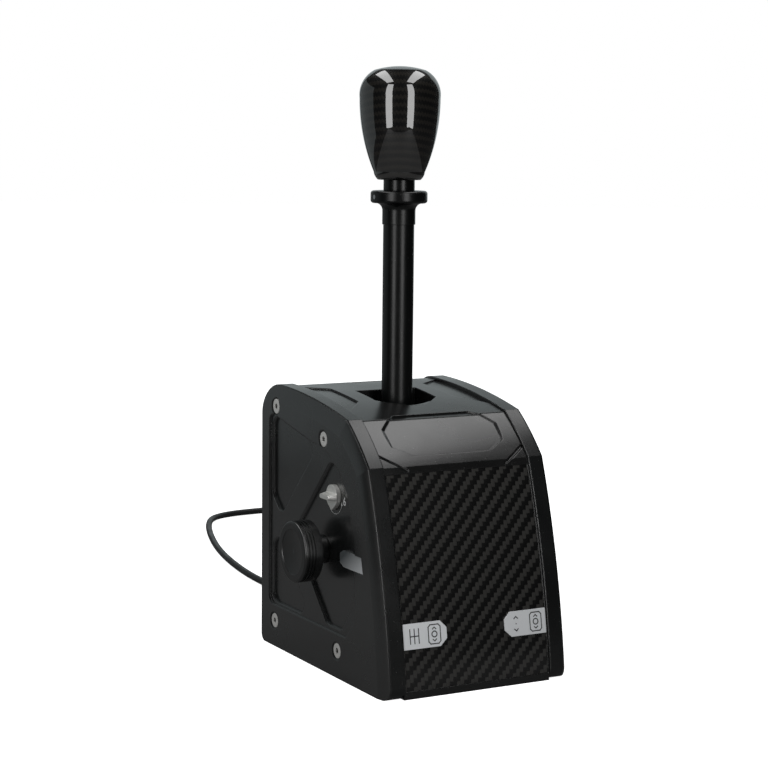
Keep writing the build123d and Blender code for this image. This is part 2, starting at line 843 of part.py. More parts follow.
def grip_collar():
    """Sleeve, concave skirt and round-edged disc under the grip, in one turned piece."""
    rim, lean = collar_edge, collar_edge * cos(pi / 4)
    inner = collar_radius - rim
    side_low, side_high = collar_low_z + rim, collar_high_z - rim
    skirt_top = (sleeve_radius + skirt_share * (inner - sleeve_radius), collar_low_z)
    skirt_bend = (sleeve_radius + skirt_bulge, (skirt_z + collar_low_z) / 2)
    edges = [
        Line((stud_radius, shaft_top_z), (sleeve_radius, shaft_top_z)),
        Line((sleeve_radius, shaft_top_z), (sleeve_radius, skirt_z)),
        ThreePointArc((sleeve_radius, skirt_z), skirt_bend, skirt_top),
        Line(skirt_top, (inner, collar_low_z)),
        ThreePointArc((inner, collar_low_z), (inner + lean, side_low - lean), (collar_radius, side_low)),
        Line((collar_radius, side_low), (collar_radius, side_high)),
        ThreePointArc((collar_radius, side_high), (inner + lean, side_high + lean), (inner, collar_high_z)),
        Line((inner, collar_high_z), (stud_radius, collar_high_z)),
        Line((stud_radius, collar_high_z), (stud_radius, shaft_top_z)),
    ]
    collar = turned(edges)
    return collar - rod_x(collar_screw_radius, -collar_radius - overrun, -stud_radius, 0, collar_middle_z)


def collar_screw():
    outer, inner = -collar_radius + fit, -collar_radius + collar_screw_depth
    return rod_x(collar_screw_radius, outer, inner, 0, collar_middle_z)


def grip_neck():
    tube = rod_z(neck_radius, collar_high_z, grip_low_z)
    return tube - rod_z(stud_radius, collar_high_z - overrun, grip_low_z + overrun)


def grip_knob():
    """Egg-shaped grip: flat crown, round shoulder, long gentle flank."""
    high = grip_top_z
    crown_drop, shoulder_drop = crown_drop_share * grip_widest_drop, shoulder_drop_share * grip_widest_drop
    grip_widest_z, grip_end_z = high - grip_widest_drop, grip_low_z + grip_foot_height
    crown_rim = (crown_share * grip_radius, high - crown_drop)
    widest = (grip_radius, grip_widest_z)
    flank_end = (end_share * grip_radius, grip_end_z)
    foot = (foot_share * grip_radius, grip_low_z)
    flank_mid = (waist_share * grip_radius, (grip_widest_z + grip_end_z) / 2 - crown_drop)
    foot_mid = ((flank_end[0] + foot[0]) / 2 + foot_bulge, (flank_end[1] + foot[1]) / 2 - foot_bulge)
    edges = [
        ThreePointArc((0, high), (crown_rim[0] / 2, high - crown_drop / 4), crown_rim),
        ThreePointArc(crown_rim, (shoulder_share * grip_radius, high - shoulder_drop), widest),
        ThreePointArc(widest, flank_mid, flank_end),
        ThreePointArc(flank_end, foot_mid, foot),
        Line(foot, (0, grip_low_z)),
        Line((0, grip_low_z), (0, high)),
    ]
    return turned(edges) - rod_z(stud_radius, grip_low_z - overrun, stud_top_z)


# Mode knob
def knob_dish():
    """Cutter for the finger dish: a short coned wall and a shallow ball-shaped floor, deeper along +Z."""
    floor_radius = knob_dish_radius - knob_dish_step
    ball_radius = (floor_radius ** 2 + knob_dish_bowl ** 2) / (2 * knob_dish_bowl)
    deep_z = knob_dish_step + knob_dish_bowl
    bend_z = deep_z - ball_radius + sqrt(ball_radius ** 2 - (floor_radius / 2) ** 2)
    edges = [
        Line((0, -overrun), (knob_dish_radius, -overrun)),
        Line((knob_dish_radius, -overrun), (knob_dish_radius, 0)),
        Line((knob_dish_radius, 0), (floor_radius, knob_dish_step)),
        ThreePointArc((floor_radius, knob_dish_step), (floor_radius / 2, bend_z), (0, deep_z)),
        Line((0, deep_z), (0, -overrun)),
    ]
    return turned(edges)


def mode_knob():
    """Round grooved knob with a dished face and its neck, sliding along X in the bush."""
    knob = rod_x(knob_radius, knob_face_x, knob_back_x, mode_y, mode_z)
    rims = knob.edges().filter_by(GeomType.CIRCLE).sort_by(Axis.X)
    knob = fillet(rims[0], knob_edge)
    back = knob.edges().filter_by(GeomType.CIRCLE).sort_by(Axis.X)[-1]
    knob = fillet(back, knob_edge / 2)
    knob -= Pos(knob_face_x, mode_y, mode_z) * Rot(0, 90, 0) * knob_dish()
    for step in range(knob_groove_count):
        x = knob_face_x + knob_groove_start + step * knob_groove_pitch
        ring = rod_x(knob_radius + overrun, x, x + knob_groove, mode_y, mode_z)
        knob -= ring - rod_x(knob_radius - knob_groove, x - fit, x + knob_groove + fit, mode_y, mode_z)
    return knob + rod_x(mode_neck_radius, knob_back_x - fit, mode_neck_end_x, mode_y, mode_z)


def mode_rod():
    """Selector rod on the knob's neck, reaching through the left cheek's window."""
    return rod_x(mode_rod_radius, mode_neck_end_x, mode_rod_end_x, mode_y, mode_z)


def mode_bush():
    """Bush in the left plate that the mode knob's neck slides in."""
    bush = rod_x(bush_outer_radius, -pocket_x, -half_gap, mode_y, mode_z)
    return bush - rod_x(mode_neck_radius + running_fit, -half_body, -half_gap + overrun, mode_y, mode_z)


# Speed dial
def dial_outline():
    """Round disc drawn out to a point at the bottom, by the two tangents from the point."""
    disc = Circle(dial_radius)
    tip_angle = acos(dial_radius / dial_point)
    touch = (dial_radius * sin(tip_angle), -dial_radius * cos(tip_angle))
    tip = make_face(Polyline((0, 0), touch, (0, -dial_point), (-touch[0], touch[1]), close=True))
    return disc + tip


def speed_dial():
    """Bright dial with its pointer and a finger wing that widens to its root."""
    dial = slab(Pos(dial_y, dial_z) * dial_outline(), dial_face_x, dial_back_x)
    crest = Pos(dial_y, dial_z) * SlotOverall(wing_length, wing_width)
    root = Pos(dial_y, dial_z) * SlotOverall(wing_root_length, wing_root_width)
    crest_plane, root_plane = Plane.YZ.offset(dial_face_x - wing_height), Plane.YZ.offset(dial_face_x + fit)
    return dial + loft([crest_plane * crest, root_plane * root])


def dial_rod():
    return rod_x(dial_rod_radius, dial_back_x, -half_gap + switch_depth / 2, dial_y, dial_z)


def dial_switch():
    """Rotary switch behind the plate, round the dial's rod."""
    half = switch_size / 2
    low = (-half_gap, dial_y - half, dial_z - half)
    case = block(low, (-half_gap + switch_depth, dial_y + half, dial_z + half))
    end = -half_gap + switch_depth / 2 + dial_lift
    return case - rod_x(dial_rod_radius + running_fit, -half_body, end, dial_y, dial_z)


# Cable, its gland, coil and plug. The route's points are places of the cord's middle line.
route = [
    (cable_exit_x, relief_end_y, cable_exit_z),
    (cable_exit_x, 106.0, cable_exit_z),
    (12.5, 128.0, 15.0),
    (9.0, 151.0, 5.5),
    (5.5, 181.0, floor_z),
    (6.0, 226.0, floor_z),
    (12.0, 272.0, floor_z),
    (22.0, 320.0, floor_z),
    (36.0, 367.0, floor_z),
    (54.0, 416.0, floor_z),
    (68.0, 442.0, 4.0),
    (92.0, 456.5, 3.4),
    (124.0, 462.0, floor_z),
    (158.0, 462.0, floor_z),
]


def cable_gland():
    """Bush in the rear panel that holds the cable's strain relief."""
    inner_y = rear_y - cover_inner
    gland = rod_y(gland_radius - fit / 2, inner_y, rear_y - cover_inset, cable_exit_x, cable_exit_z)
    outer = rear_y - cover_inset
    return gland + rod_y(gland_flange_radius, outer, rear_y + gland_flange, cable_exit_x, cable_exit_z)


def strain_relief():
    """Tapered boot with four ribs where the cable leaves the gland."""
    low, high = rear_y + gland_flange, relief_end_y
    cone = Cone(relief_base_radius, relief_tip_radius, high - low)
    boot = Pos(cable_exit_x, (low + high) / 2, cable_exit_z) * Rot(-90, 0, 0) * cone
    for step in range(relief_ribs):
        share = (step + 1) / (relief_ribs + 1)
        y = low + share * (high - low)
        radius = relief_base_radius + share * (relief_tip_radius - relief_base_radius) + relief_rib
        boot += rod_y(radius, y - relief_rib, y + relief_rib, cable_exit_x, cable_exit_z)
    return boot


def corner_radii(points):
    """Arcs that take up an equal share of the shorter run at each turn."""
    found = []
    for before, at, after in zip(points, points[1:], points[2:]):
        come, go = Vector(*at) - Vector(*before), Vector(*after) - Vector(*at)
        half = radians(come.get_angle(go)) / 2
        found.append(arc_run_share * min(come.length, go.length) / tan(half))
    return found


def cord_section():
    return RegularPolygon(cable_radius, 8)


def swept(path, start, heading):
    return sweep(Plane(start, z_dir=heading) * cord_section(), path=path)


def cable_lead():
    radii = corner_radii(route)
    print("cable radii", [round(r, 1) for r in radii])
    path = FilletPolyline(*route, radius=radii)
    tube = swept(path, route[0], Vector(*route[1]) - Vector(*route[0]))
    expected = cord_section().area * path.length
    print("cable length", round(path.length, 1), "volume ratio", round(tube.volume / expected, 4))
    return tube


coil_centre = (route[-1][0] + 2 * cable_radius, route[-1][1] - coil_radius - coil_pitch * coil_quarters / 16)


def coil_state(quarter):
    """Radius and height of the coil's line after so many quarter turns: in, up a layer, and out again."""
    middle = coil_quarters / 2
    inward = min(quarter, coil_quarters - quarter)
    radius = coil_radius + coil_pitch * coil_quarters / 16 - coil_pitch * inward / 4
    climb = min(max(quarter - (middle - 1), 0) / 2, 1)
    return radius, floor_z + coil_layer * climb


def coil_point(quarter):
    radius, height = coil_state(quarter)
    angle = pi / 2 - quarter * pi / 2
    return Vector(coil_centre[0] + radius * cos(angle), coil_centre[1] + radius * sin(angle), height)


def coil_heading(quarter):
    """Direction of the coil's line: clockwise seen from above, square to the radius."""
    angle = -quarter * pi / 2
    return Vector(cos(angle), sin(angle), 0)


def biarc(start, start_way, end, end_way):
    """Two arcs that leave start and reach end in the given directions."""
    gap = end - start
    ways = start_way + end_way
    curve = 2 * (start_way.dot(end_way) - 1)
    pull = -2 * gap.dot(ways)
    reach = gap.dot(gap)
    size = (-pull - sqrt(pull * pull - 4 * curve * reach)) / (2 * curve)
    joint = (start + end + (start_way - end_way) * size) * 0.5
    first = TangentArc(start, joint, tangent=start_way)
    second = TangentArc(joint, end, tangent=first % 1)
    return [first, second]


def coil_path():
    """The coil's line, with a straight of one diameter at each end."""
    edges = [Line(Vector(*route[-1]), coil_point(0))]
    for quarter in range(coil_quarters):
        edges += biarc(
            coil_point(quarter), coil_heading(quarter), coil_point(quarter + 1), coil_heading(quarter + 1)
        )
    edges.append(Line(coil_point(coil_quarters), coil_end))
    return Wire(edges)


coil_end = coil_point(coil_quarters) + coil_heading(coil_quarters) * 2 * cable_radius


def cable_coil():
    """The stored length, wound in and out again in two layers."""
    path = coil_path()
    tube = swept(path, Vector(*route[-1]), coil_heading(0))
    expected = cord_section().area * path.length
    print("coil length", round(path.length, 1), "volume ratio", round(tube.volume / expected, 4))
    steps = coil_quarters * 8
    places = [path.position_at(step / steps) for step in range(steps + 1)]
    least = min(
        (places[a] - places[b]).length for a in range(steps + 1) for b in range(a + 6, steps + 1)
    )
    print("coil least gap", round(least - 2 * cable_radius, 2))
    return tube


tail_route = [
    (coil_end.X, coil_end.Y, coil_end.Z),
    (coil_end.X, coil_end.Y - tail_run, coil_end.Z),
    (coil_end.X - tail_drift, coil_end.Y - 2 * tail_run, plug_z),
    (coil_end.X - 3 * tail_drift, coil_end.Y - 3 * tail_run, plug_z),
]


def cable_tail():
    """Short end of the cable, from the coil to the plug."""
    radii = corner_radii(tail_route)
    print("tail radii", [round(r, 1) for r in radii])
    path = FilletPolyline(*tail_route, radius=radii)
    tube = swept(path, tail_route[0], Vector(*tail_route[1]) - Vector(*tail_route[0]))
    print("tail length", round(path.length, 1))
    return tube


def plug_plane():
    """Plane at the cable's end, its Z along the way that the cable comes."""
    way = Vector(*tail_route[-1]) - Vector(*tail_route[-2])
    return Plane(tail_route[-1], x_dir=Vector(0, 0, 1), z_dir=Vector(way.X, way.Y, 0))


def plug_grip():
    """Moulded grip of the plug."""
    body = extrude(RectangleRounded(plug_height, plug_width, plug_round), amount=plug_length)
    return plug_plane() * body


def plug_shell():
    """Metal shell of the plug with its tongue."""
    outer = extrude(Rectangle(shell_height, shell_width), amount=shell_length)
    room = (shell_height - 2 * shell_wall, shell_width - 2 * shell_wall)
    outer -= Pos(0, 0, shell_wall) * extrude(Rectangle(*room), amount=shell_length)
    tongue = Pos(-(room[0] - tongue_height) / 2, 0, 0) * Rectangle(tongue_height, room[1])
    outer += extrude(tongue, amount=shell_length - shell_wall)
    return plug_plane() * Pos(0, 0, plug_length) * outer


nodes = {
    "left_side_plate": left_side_plate,
    "right_side_plate": side_plate,
    "side_badge": side_badge,
    "side_screws": side_screws,
    "frame_rods": frame_rods,
    "rear_top_cover": rear_top_cover,
    "front_cover": front_cover,
    "carbon_panel": carbon_panel,
    "left_pattern_badge": lambda: pattern_badge(-1),
    "right_pattern_badge": lambda: pattern_badge(1),
    "rear_panel": rear_panel,
    "base_plate": base_plate,
    "base_screws": base_screws,
    "left_cheek": left_cheek,
    "right_cheek": cheek,
    "left_bearing": lambda: bearing(-1),
    "right_bearing": lambda: bearing(1),
    "stop_bars": stop_bars,
    "stop_pads": stop_pads,
    "gate_plate": gate_plate,
    "gate_posts": gate_posts,
    "main_board": main_board,
    "board_posts": board_posts,
    "board_socket": board_socket,
    "sensor_board": sensor_board,
    "gimbal_ring": gimbal_ring,
    "lateral_pin": lateral_pin,
    "pin_clips": pin_clips,
    "centring_spring": centring_spring,
    "trunnion_magnet": trunnion_magnet,
    "lever_hub": lever_hub,
    "lever_tail": lever_tail,
    "lever_shaft": lever_shaft,
    "grip_collar": grip_collar,
    "collar_screw": collar_screw,
    "grip_neck": grip_neck,
    "grip_knob": grip_knob,
    "mode_knob": mode_knob,
    "mode_rod": mode_rod,
    "mode_bush": mode_bush,
    "speed_dial": speed_dial,
    "dial_rod": dial_rod,
    "dial_switch": dial_switch,
    "cable_gland": cable_gland,
    "strain_relief": strain_relief,
    "cable_lead": cable_lead,
    "cable_coil": cable_coil,
    "cable_tail": cable_tail,
    "plug_grip": plug_grip,
    "plug_shell": plug_shell,
}

for name, make in nodes.items():
    export_step(make(), f"parts/{name}.step")
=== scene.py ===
"""Looks of the sim racing gear shifter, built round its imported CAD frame.

Lengths are metres in the row frame: +X right, -Y towards the carbon front, +Z up from the
underside of the base.
"""
import json
from math import cos, pi, radians, sin, sqrt

import bpy
from mathutils import Matrix, Vector

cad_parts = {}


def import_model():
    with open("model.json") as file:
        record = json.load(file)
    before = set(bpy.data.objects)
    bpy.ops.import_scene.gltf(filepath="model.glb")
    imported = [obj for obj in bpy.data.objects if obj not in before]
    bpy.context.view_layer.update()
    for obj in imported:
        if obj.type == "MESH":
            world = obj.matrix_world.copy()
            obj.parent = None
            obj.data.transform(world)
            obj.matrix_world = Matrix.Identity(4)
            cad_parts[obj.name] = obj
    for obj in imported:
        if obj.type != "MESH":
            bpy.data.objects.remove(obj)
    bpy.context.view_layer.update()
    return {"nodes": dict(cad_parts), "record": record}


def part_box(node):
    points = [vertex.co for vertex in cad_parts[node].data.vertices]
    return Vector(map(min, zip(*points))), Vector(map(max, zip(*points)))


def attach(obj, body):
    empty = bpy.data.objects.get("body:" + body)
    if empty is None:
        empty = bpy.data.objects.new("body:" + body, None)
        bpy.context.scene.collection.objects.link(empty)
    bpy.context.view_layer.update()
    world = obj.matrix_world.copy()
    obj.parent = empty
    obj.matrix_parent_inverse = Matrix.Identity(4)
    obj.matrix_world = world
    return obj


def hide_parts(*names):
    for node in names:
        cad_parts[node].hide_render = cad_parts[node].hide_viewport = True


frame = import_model()
mm = 0.001

# Camera, as fitted to the photograph
camera_azimuth = 29.03
camera_elevation = 6.6
camera_roll = 0.622
camera_distance = 1.272
camera_target = Vector((0, 0, 0.180))
focal_pixels = 2035.3
centre_pixels = (397.15, 369.26)
picture_pixels = 768
sensor_width = 36.0

# Studio. Its places are right of, away from and above the row frame's origin, in the camera's view
floor_half = 8.0
floor_colour = (0.9, 0.9, 0.9, 1)
floor_mirror = 0.03
floor_glow, far_floor_glow = 0.93, 1.0
floor_glow_near, floor_glow_far = 0.3, 1.0
table_near, table_far, table_side = -0.88, 1.6, 0.63
table_mirror = 0.12
table_glow = 0.05
world_light = 0.02
strip_side, strip_away, strip_up = 0.53, -0.88, 0.62
strip_size, strip_glow = (0.34, 1.2), 3.0
bar_side, bar_away, bar_up = 0.56, 0.06, 1.36
bar_size, bar_glow = (0.42, 1.55), 3.0
wall_glow = 0.19
back_glow = 0.5
cool_white = (0.89, 0.985, 1.0)

# Surfaces. Scales of noise are per metre
ray_samples = 8
noise_low, noise_high = 0.3, 0.7
cloud_scale = 22.0
cloud_dark, cloud_light = 0.8, 1.25
dust_scale = 900.0
dust_low, dust_high, dust_most = 0.74, 0.78, 0.35
dust_colour = (0.12, 0.12, 0.118)
brush_across, brush_along = 9000.0, 120.0
# Painted shade in hollows: ambient occlusion darkens the colour between these levels
painted_shade_low, painted_shade_high, painted_shade_dark = 0.55, 0.95, 0.06
rubber_grain, rubber_smears = 2600.0, 60.0
ink_speckle = 4000.0
ink_darkest, ink_lightest = 0.7, 1.15
black = (0.005, 0.0056, 0.0056)
mask_green, copper_green = (0.01, 0.09, 0.035), (0.03, 0.2, 0.08)

# Side plates. Distances are from the part's middle plane
bevel_inner, bevel_outer = 60.0 * mm, 62.45 * mm
bevel_margin = 0.1 * mm
wall_foot = 59.0 * mm
wall_facing = 0.3
wall_foot_lean, wall_top_lean = 4.0, 2.5
rim_facing, side_facing = 0.3, 0.8
rim_specular = 0.33
plate_ior = 1.7

# Side badge. Its shade grows along a slanted line, from the light end to the dark end
side_badge_out = -59 * mm
side_badge_slant = 1.5
side_badge_light, side_badge_dark = 32 * mm, 66 * mm

# Carbon weave
panel_tow = 2.42 * mm
grip_tows_round = 67
grip_tow = 1.66 * mm
grip_bow = 5 * mm
tows_in_repeat, tows_in_float = 4.0, 2.0
tow_roundness = 0.5
fibre_fine, fibre_long = 26.0, 1.3
# Painted sheen of the fibres: lengthwise tows are coloured lighter than crosswise ones
sheen_tow_range, dark_tow_range = (0.55, 1.45), (0.5, 1.5)
# Darkening where the tows dip: dark joints between tows, with painted shade of their arches
join_height, join_mix, join_and_arch_shade = 0.3, 0.35, 0.4
weave_bump = 0.55

# Printed marks
badge_stroke = 0.62 * mm
badge_ink_lift = 0.08 * mm
icon_size = 11.2 * mm
dial_y, dial_z = -32.4 * mm, 109.6 * mm
dial_floor = -59.2 * mm
dial_ink_lift = 0.05 * mm
dial_stroke = 0.45 * mm
dial_arc_middle, dial_arc_radius = (-1.0 * mm, -1.5 * mm), 9.5 * mm
dial_arc_start, dial_arc_end = -130, -20
figure_size, figure_swell = 7.2 * mm, 0.1 * mm
figure_right, figure_down = 11.5 * mm, 1.9 * mm

# Cable
cable_radius = 2.5 * mm
floor_gap = 0.1 * mm
cable_floor = cable_radius + floor_gap
coil_radius = 28 * mm
coil_pitch = 5.6 * mm
coil_layer = 5.6 * mm
coil_quarters = 29
points_per_quarter = 6
tail_run = 16 * mm
tail_drift = 1.2 * mm
plug_middle = 4.1 * mm


# Shader helpers
def new_material(
    name, colour, roughness, metallic=0.0, coat=0.0, coat_roughness=0.03, specular=0.5,
):
    material = bpy.data.materials.new(name)
    material.use_nodes = True
    shader = material.node_tree.nodes["Principled BSDF"]
    shader.inputs["Base Color"].default_value = (*colour, 1.0)
    shader.inputs["Roughness"].default_value = roughness
    shader.inputs["Metallic"].default_value = metallic
    shader.inputs["Coat Weight"].default_value = coat
    shader.inputs["Coat Roughness"].default_value = coat_roughness
    shader.inputs["Specular IOR Level"].default_value = specular
    return material


def shader_of(material):
    return material.node_tree.nodes["Principled BSDF"]


def node(material, kind, inputs=(), **settings):
    """Adds a shader node. Each input is a value, or another node's socket to link."""
    made = material.node_tree.nodes.new("ShaderNode" + kind)
    for key, value in settings.items():
        setattr(made, key, value)
    for key, value in dict(inputs).items():
        feed(material, made.inputs[key], value)
    return made


def feed(material, socket, value):
    if isinstance(value, bpy.types.NodeSocket):
        material.node_tree.links.new(value, socket)
    else:
        socket.default_value = value


def math(material, operation, *values):
    return node(material, "Math", dict(enumerate(values)), operation=operation).outputs[0]


def vector_math(material, operation, *values):
    return node(material, "VectorMath", dict(enumerate(values)), operation=operation).outputs[0]


def place(material):
    """The shaded point in the row frame, in metres."""
    return node(material, "TexCoord").outputs["Object"]


def split(material, vector):
    """X, Y and Z of a vector."""
    return node(material, "SeparateXYZ", {0: vector}).outputs


def noise(material, scale, detail, vector=None):
    vector = place(material) if vector is None else vector
    inputs = {"Vector": vector, "Scale": scale, "Detail": detail}
    return node(material, "TexNoise", inputs).outputs["Fac"]


def remap(material, value, low, high, new_low, new_high):
    inputs = dict(enumerate((value, low, high, new_low, new_high)))
    return node(material, "MapRange", inputs).outputs[0]


def worn(material, pattern, roughness, less, more):
    """Roughness that wanders round its value with a noise."""
    return remap(material, pattern, noise_low, noise_high, roughness - less, roughness + more)


def shade(colour, factor):
    return tuple(factor * c for c in colour)


def mix_colour(material, factor, first, second):
    made = node(material, "Mix", data_type="RGBA")
    feed(material, made.inputs[0], factor)
    feed(material, made.inputs[6], (*first, 1.0) if isinstance(first, tuple) else first)
    feed(material, made.inputs[7], (*second, 1.0) if isinstance(second, tuple) else second)
    return made.outputs[2]


def bump(material, height, strength, distance, normal=None):
    inputs = {"Height": height, "Strength": strength, "Distance": distance}
    if normal is not None:
        inputs["Normal"] = normal
    return node(material, "Bump", inputs).outputs[0]


def rounded(material, radius):
    """Normal that rounds off sharp edges."""
    return node(material, "Bevel", {"Radius": radius}, samples=ray_samples).outputs[0]


def turned_out(material, normal, turn):
    """Plate's normal, as on a rounded bevel round its rim and on sloping walls in its recess."""
    x = split(material, place(material))[0]
    side = math(material, "ABSOLUTE", x)
    across = remap(material, side, bevel_inner, bevel_outer, turn ** 0.5, 1.0)
    lean = math(material, "MULTIPLY", across, across)
    on_bevel = math(material, "GREATER_THAN", side, bevel_inner - bevel_margin)
    lean = node(material, "Mix", {0: on_bevel, 2: 1.0, 3: lean}).outputs[0]
    leaned = node(material, "CombineXYZ", {0: 1.0, 1: lean, 2: lean}).outputs[0]
    product = vector_math(material, "MULTIPLY", normal, leaned)
    flat_normal = node(material, "NewGeometry").outputs["True Normal"]
    facing = math(material, "ABSOLUTE", split(material, flat_normal)[0])
    on_wall = math(material, "LESS_THAN", facing, wall_facing)
    past_foot = math(material, "GREATER_THAN", side, wall_foot)
    wall_lean = remap(material, side, wall_foot, bevel_outer, wall_foot_lean, wall_top_lean)
    slope = math(material, "MULTIPLY", on_wall, math(material, "MULTIPLY", past_foot, wall_lean))
    outwards = math(material, "MULTIPLY", slope, math(material, "SIGN", x))
    tilt = node(material, "CombineXYZ", {0: outwards}).outputs[0]
    return vector_math(material, "NORMALIZE", vector_math(material, "ADD", product, tilt))


def satin_black(name, colour, roughness, grain, edge, specular=0.5, turn=None):
    """Black satin surface: fine grain, faint cloudiness, soft edges and a scatter of dust.

    With a turn it is a side plate's: the bevel is rounded, and the rim is less glossy.
    """
    material = new_material(name, colour, roughness, specular=specular)
    shader = shader_of(material)
    normal = None if edge is None else rounded(material, edge)
    if turn is not None:
        normal = turned_out(material, normal, turn)
        facing = math(material, "ABSOLUTE", split(material, normal)[0])
        gloss = remap(material, facing, rim_facing, side_facing, rim_specular, specular)
        feed(material, shader.inputs["Specular IOR Level"], gloss)
        shader.inputs["IOR"].default_value = plate_ior
    fine = noise(material, 1 / grain, detail=2.0)
    cloud = noise(material, cloud_scale, detail=4.0)
    clouded = mix_colour(material, cloud, shade(colour, cloud_dark), shade(colour, cloud_light))
    specks = noise(material, dust_scale, detail=1.0)
    dust = remap(material, specks, dust_low, dust_high, 0.0, dust_most)
    dusty = mix_colour(material, dust, clouded, dust_colour)
    grained = bump(material, fine, strength=0.15, distance=0.03 * mm, normal=normal)
    feed(material, shader.inputs["Base Color"], dusty)
    wear = worn(material, cloud, roughness, less=0.05, more=0.06)
    feed(material, shader.inputs["Roughness"], wear)
    feed(material, shader.inputs["Normal"], grained)
    return material


def brushed(name, colour, roughness, along, edge=0.15 * mm, metallic=1.0, painted_shade_width=None):
    """Metal with fine lines along one axis of the row frame, with painted shade in hollows of this
    width.
    """
    material = new_material(name, colour, roughness, metallic=metallic)
    shader = shader_of(material)
    scale = [brush_across, brush_across, brush_across]
    scale[along] = brush_along
    stretched = node(material, "Mapping", {"Vector": place(material), "Scale": scale}).outputs[0]
    lines = noise(material, 1.0, detail=2.0, vector=stretched)
    soft_edges = rounded(material, edge)
    grained = bump(material, lines, strength=0.12, distance=0.02 * mm, normal=soft_edges)
    wear = worn(material, lines, roughness, less=0.07, more=0.1)
    feed(material, shader.inputs["Roughness"], wear)
    feed(material, shader.inputs["Normal"], grained)
    if painted_shade_width is not None:
        # Painted shade: the colour darkens where ambient occlusion finds a hollow
        sky = node(material, "AmbientOcclusion", {"Distance": painted_shade_width}, samples=ray_samples)
        open_sky = remap(material, sky.outputs["AO"], painted_shade_low, painted_shade_high, 0.0, 1.0)
        painted_shade = mix_colour(material, open_sky, shade(colour, painted_shade_dark), colour)
        feed(material, shader.inputs["Base Color"], painted_shade)
    return material


def badge(name, colour, shadow_colour, roughness):
    """Brushed badge. On the plate's side it darkens towards its rear end, in the knob's shade."""
    material = brushed(name, colour, roughness, along=0, metallic=0.5)
    x, y, z = split(material, place(material))
    slant = math(material, "ADD", y, math(material, "MULTIPLY", z, side_badge_slant))
    shaded = remap(material, slant, side_badge_light, side_badge_dark, 0.0, 1.0)
    graded = mix_colour(material, shaded, colour, shadow_colour)
    on_side = math(material, "LESS_THAN", x, side_badge_out)
    final = mix_colour(material, on_side, colour, graded)
    feed(material, shader_of(material).inputs["Base Color"], final)
    return material


def rubber(name, colour, roughness):
    material = new_material(name, colour, roughness)
    shader = shader_of(material)
    fine = noise(material, rubber_grain, detail=3.0)
    smears = noise(material, rubber_smears, detail=3.0)
    grained = bump(material, fine, strength=0.2, distance=0.03 * mm)
    wear = worn(material, smears, roughness, less=0.06, more=0.08)
    feed(material, shader.inputs["Roughness"], wear)
    feed(material, shader.inputs["Normal"], grained)
    return material


def twill(material, across, along):
    """Two-over-two twill, from coordinates that count tows.

    Gives the mask of the lengthwise tows that lie on top, and the cloth's height.
    """
    column, row = math(material, "FLOOR", across), math(material, "FLOOR", along)
    part_across, part_along = math(material, "FRACT", across), math(material, "FRACT", along)
    diagonal = math(material, "SUBTRACT", column, row)
    step = math(material, "FLOORED_MODULO", diagonal, tows_in_repeat)
    lengthwise = math(material, "LESS_THAN", step, tows_in_float - 0.5)

    def arch(value):
        return math(material, "SINE", math(material, "MULTIPLY", value, pi))

    def height_of(crossing, part_run, part_width):
        """Height of a tow: an arch over its float of two crossings and one over its width."""
        run = math(material, "ADD", crossing, part_run)
        run = math(material, "MULTIPLY", run, 1 / tows_in_float)
        width = math(material, "POWER", arch(part_width), tow_roundness)
        return math(material, "MULTIPLY", arch(run), width)

    high_long = height_of(math(material, "SUBTRACT", 1.0, step), part_along, part_across)
    high_wide = height_of(math(material, "SUBTRACT", step, tows_in_float), part_across, part_along)
    height = node(material, "Mix", {0: lengthwise, 2: high_wide, 3: high_long}).outputs[0]
    return lengthwise, height


def carbon(
    name, across, along, sheen_colour, dark, roughness, coat_roughness, depth, specular, coat_ior,
):
    """Carbon laminate under resin, from the functions that give its two tow coordinates."""
    material = new_material(
        name, dark, roughness, coat=1.0, coat_roughness=coat_roughness, specular=specular,
    )
    shader = shader_of(material)
    shader.inputs["Coat IOR"].default_value = coat_ior
    u, v = across(material), along(material)
    lengthwise, height = twill(material, u, v)

    def fibres(scale_u, scale_v):
        scaled = math(material, "MULTIPLY", u, scale_u), math(material, "MULTIPLY", v, scale_v)
        joined = node(material, "CombineXYZ", dict(enumerate(scaled))).outputs[0]
        return noise(material, 1.0, detail=2.0, vector=joined)

    fibres_long, fibres_wide = fibres(fibre_fine, fibre_long), fibres(fibre_long, fibre_fine)
    # Painted sheen: the lengthwise tows get the lighter colour, the crosswise tows the dark one
    sheen_ends = (shade(sheen_colour, factor) for factor in sheen_tow_range)
    dark_ends = (shade(dark, factor) for factor in dark_tow_range)
    sheen_tow = mix_colour(material, fibres_long, *sheen_ends)
    dark_tow = mix_colour(material, fibres_wide, *dark_ends)
    woven = mix_colour(material, lengthwise, dark_tow, sheen_tow)
    # Darker where the tows dip: dark joints between tows, with painted shade of their arches
    raised = remap(material, height, 0.0, join_height, join_mix, 1.0)
    shaded = mix_colour(material, raised, shade(dark, join_and_arch_shade), woven)
    feed(material, shader.inputs["Base Color"], shaded)
    feed(material, shader.inputs["Normal"], bump(material, height, weave_bump, distance=depth))
    return material


def panel_across(material):
    return math(material, "DIVIDE", split(material, place(material))[0], panel_tow)


def panel_along(material):
    return math(material, "DIVIDE", split(material, place(material))[2], panel_tow)


def grip_laid(material):
    """Tows counted round and up the grip. The rows sink in bows to both sides of its front."""
    x, y, z = split(material, place(material))
    turn = math(material, "ARCTAN2", y, x)
    from_front = math(material, "ADD", turn, radians(90 + camera_azimuth))
    bow = math(material, "MULTIPLY", math(material, "COSINE", from_front), grip_bow)
    round_it = math(material, "MULTIPLY", turn, grip_tows_round / (sqrt(2) * pi))
    up_it = math(material, "DIVIDE", math(material, "SUBTRACT", z, bow), grip_tow)
    return round_it, up_it


